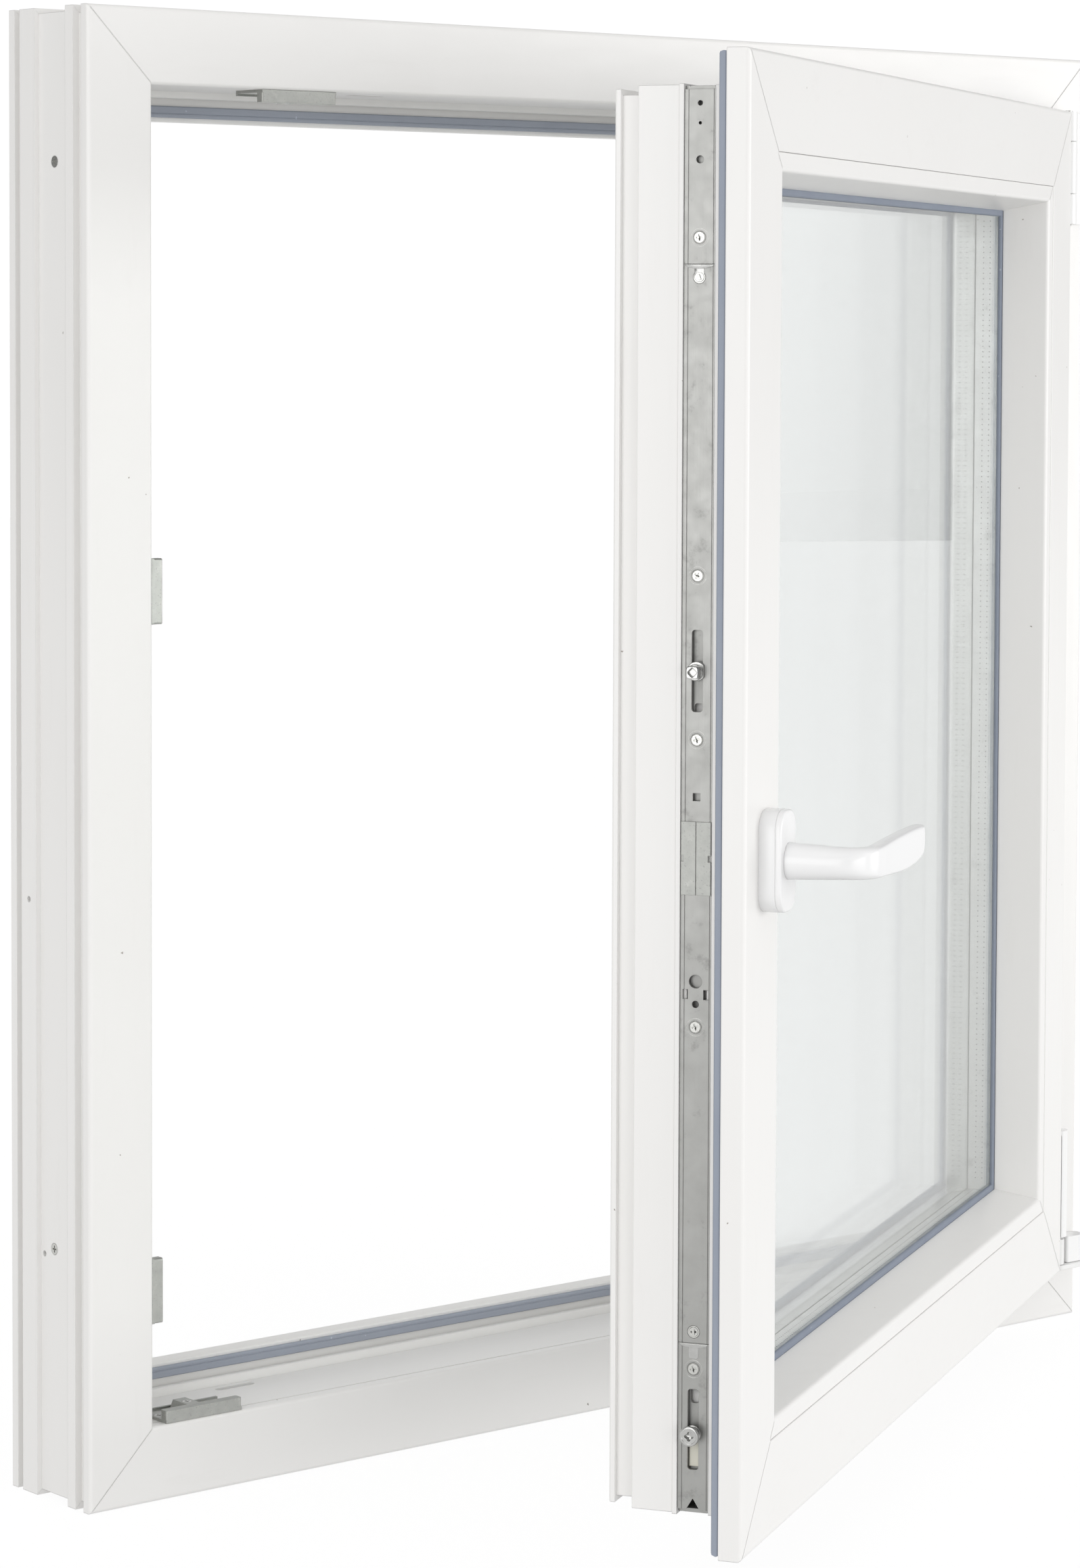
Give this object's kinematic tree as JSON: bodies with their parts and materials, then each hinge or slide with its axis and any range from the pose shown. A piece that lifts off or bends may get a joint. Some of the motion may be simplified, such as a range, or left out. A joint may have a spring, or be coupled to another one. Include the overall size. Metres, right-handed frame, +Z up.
{
  "type": "casement window",
  "caption": "White plastic tilt-and-turn casement window: outer frame, inward-opening sash with insulating glass, steel faceplate hardware, hinges and a lever handle.",
  "frame": {"origin": "middle of the sill's bottom edge, in the plane of the outer frame's room face", "axes": "+X along the sill towards the hinged side as seen from the room, +Y outdoors through the frame, +Z up"},
  "size_m": [0.94, 0.5935, 1],
  "materials": {
    "pvc": "smooth white extruded plastic",
    "bead_pvc": "smooth white extruded plastic",
    "reinforcement": "galvanised sheet steel",
    "striker_zinc": "zinc die casting, satin",
    "faceplate_steel": "zinc plated and passivated",
    "rod_steel": "zinc plated",
    "cam_steel": "zinc plated, lightly greased",
    "screw_steel": "zinc plated",
    "gear_zinc": "zinc die casting",
    "hinge_steel": "white powder coat on steel",
    "hinge_pin": "plated steel",
    "cover_plastic": "white moulded plastic",
    "handle_coat": "white powder coat",
    "gasket": "blue grey rubber",
    "glazing_gasket": "grey rubber",
    "glass": "clear float glass",
    "spacer": "mill finish",
    "edge_sealant": "black sealant",
    "block_plastic": "grey moulded plastic"
  },
  "bodies": {
    "frame": {"frame_head": "pvc", "frame_sill": "pvc", "frame_hinge_jamb": "pvc", "frame_lock_jamb": "pvc", "frame_steels": "reinforcement", "frame_gasket": "gasket", "lock_strikers": "striker_zinc", "head_striker": "striker_zinc", "tilt_striker": "striker_zinc", "frame_screws": "screw_steel", "top_bearing": "hinge_steel", "top_hinge_pin": "hinge_pin", "top_bearing_covers": "cover_plastic", "pivot_bearing": "hinge_steel", "pivot_bearing_cover": "cover_plastic"},
    "carrier": {"pivot_socket": "hinge_steel"},
    "stay": {"stay_arm": "rod_steel", "stay_slider": "rod_steel", "stay_cover": "cover_plastic"},
    "sash": {"sash_top_rail": "pvc", "sash_bottom_rail": "pvc", "sash_lock_stile": "pvc", "sash_hinge_stile": "pvc", "sash_steels": "reinforcement", "sash_gasket": "gasket", "bead_top": "bead_pvc", "bead_bottom": "bead_pvc", "bead_lock_side": "bead_pvc", "bead_hinge_side": "bead_pvc", "inner_glazing_gasket": "glazing_gasket", "outer_glazing_gasket": "glazing_gasket", "inner_pane": "glass", "middle_pane": "glass", "outer_pane": "glass", "spacer_frames": "spacer", "edge_seals": "edge_sealant", "setting_blocks": "block_plastic", "faceplate_upper": "faceplate_steel", "faceplate_gear": "faceplate_steel", "faceplate_corner": "faceplate_steel", "stay_guide": "faceplate_steel", "rail_plates": "faceplate_steel", "plate_screws": "screw_steel", "gearbox": "gear_zinc", "bridge_blocks": "striker_zinc", "corner_hinge": "hinge_steel", "corner_hinge_cover": "cover_plastic", "handle_base": "cover_plastic", "handle_rose_cover": "cover_plastic", "handle_screws": "screw_steel"},
    "handle": {"handle_lever": "handle_coat", "handle_spindle": "rod_steel", "drive_pinion": "gear_zinc"},
    "lock_rod": {"drive_rod": "rod_steel", "square_cam": "cam_steel", "mushroom_cam": "cam_steel"},
    "top_rod": {"top_rod": "rod_steel", "top_cam": "cam_steel"},
    "tilt_rod": {"tilt_rod": "rod_steel", "tilt_cam": "cam_steel"}
  },
  "joints": [
    {"name": "sash_turn", "type": "hinge", "parent": "frame", "child": "carrier", "pos_m": [0.437, -0.013, 0.05], "axis": [0, 0, 1], "range_deg": [-30.8, 59.2]},
    {"name": "sash_tilt", "type": "hinge", "parent": "carrier", "child": "sash", "pos_m": [0.437, -0.013, 0.05], "axis": [0.859, 0.512, 0], "range_deg": [0, 6.5]},
    {"name": "stay_swing", "type": "hinge", "parent": "carrier", "child": "stay", "pos_m": [0.437, -0.013, 0.9], "axis": [0, 0, 1], "range_deg": [0, 20]},
    {"name": "handle_turn", "type": "hinge", "parent": "sash", "child": "handle", "pos_m": [-0.26693, -0.43845, 0.466], "axis": [0.512, -0.859, 0], "range_deg": [-90, 90]},
    {"name": "lock_slide", "type": "slide", "parent": "sash", "child": "lock_rod", "axis": [0, 0, 1], "range_m": [-0.018, 0.018]},
    {"name": "top_slide", "type": "slide", "parent": "sash", "child": "top_rod", "axis": [0.859, 0.512, 0], "range_m": [-0.018, 0.018]},
    {"name": "tilt_slide", "type": "slide", "parent": "sash", "child": "tilt_rod", "axis": [0.859, 0.512, 0], "range_m": [-0.018, 0.018]}
  ],
  "couplings": [
    {"joint": "stay_swing", "follows": "sash_tilt", "ratio": 3.05},
    {"joint": "lock_slide", "follows": "handle_turn", "m_per_rad": -0.011459},
    {"joint": "top_slide", "follows": "handle_turn", "m_per_rad": -0.011459},
    {"joint": "tilt_slide", "follows": "handle_turn", "m_per_rad": -0.011459}
  ]
}
